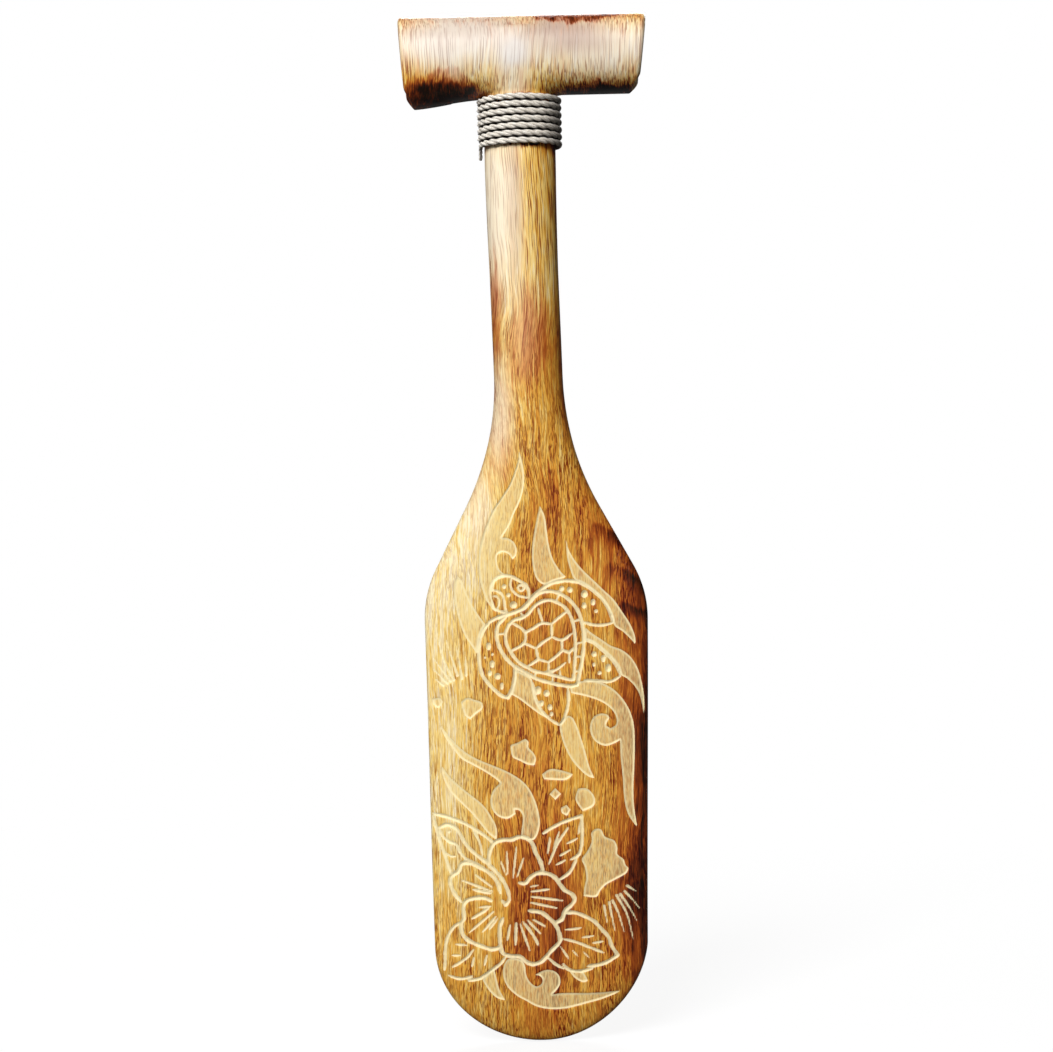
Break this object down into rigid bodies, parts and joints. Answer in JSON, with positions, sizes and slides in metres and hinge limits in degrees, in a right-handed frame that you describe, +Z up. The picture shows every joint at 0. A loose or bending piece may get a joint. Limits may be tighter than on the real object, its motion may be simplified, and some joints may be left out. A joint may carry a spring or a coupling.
{
  "type": "carved wooden paddle",
  "caption": "Wooden wall paddle with a T grip, an oval shaft and a broad flat blade carved in low relief, bound with cord under the grip.",
  "frame": {"origin": "on the blade's centre line at the neck, level with the underside of the grip, where wall pegs carry the arms", "axes": "+Z up along the shaft towards the grip, the carved face looks towards -Y, +X to the right as seen from the carved face"},
  "size_m": [0.1243, 0.039, 0.5155],
  "materials": {
    "lacquered_wood": "satin lacquer over streaked brown tropical hardwood, with the carved cuts left pale and bare",
    "twisted_cord": "matt off-white three-strand twisted cotton cord"
  },
  "bodies": {
    "root": {"carved_paddle": "lacquered_wood", "neck_binding": "twisted_cord"}
  },
  "joints": []
}
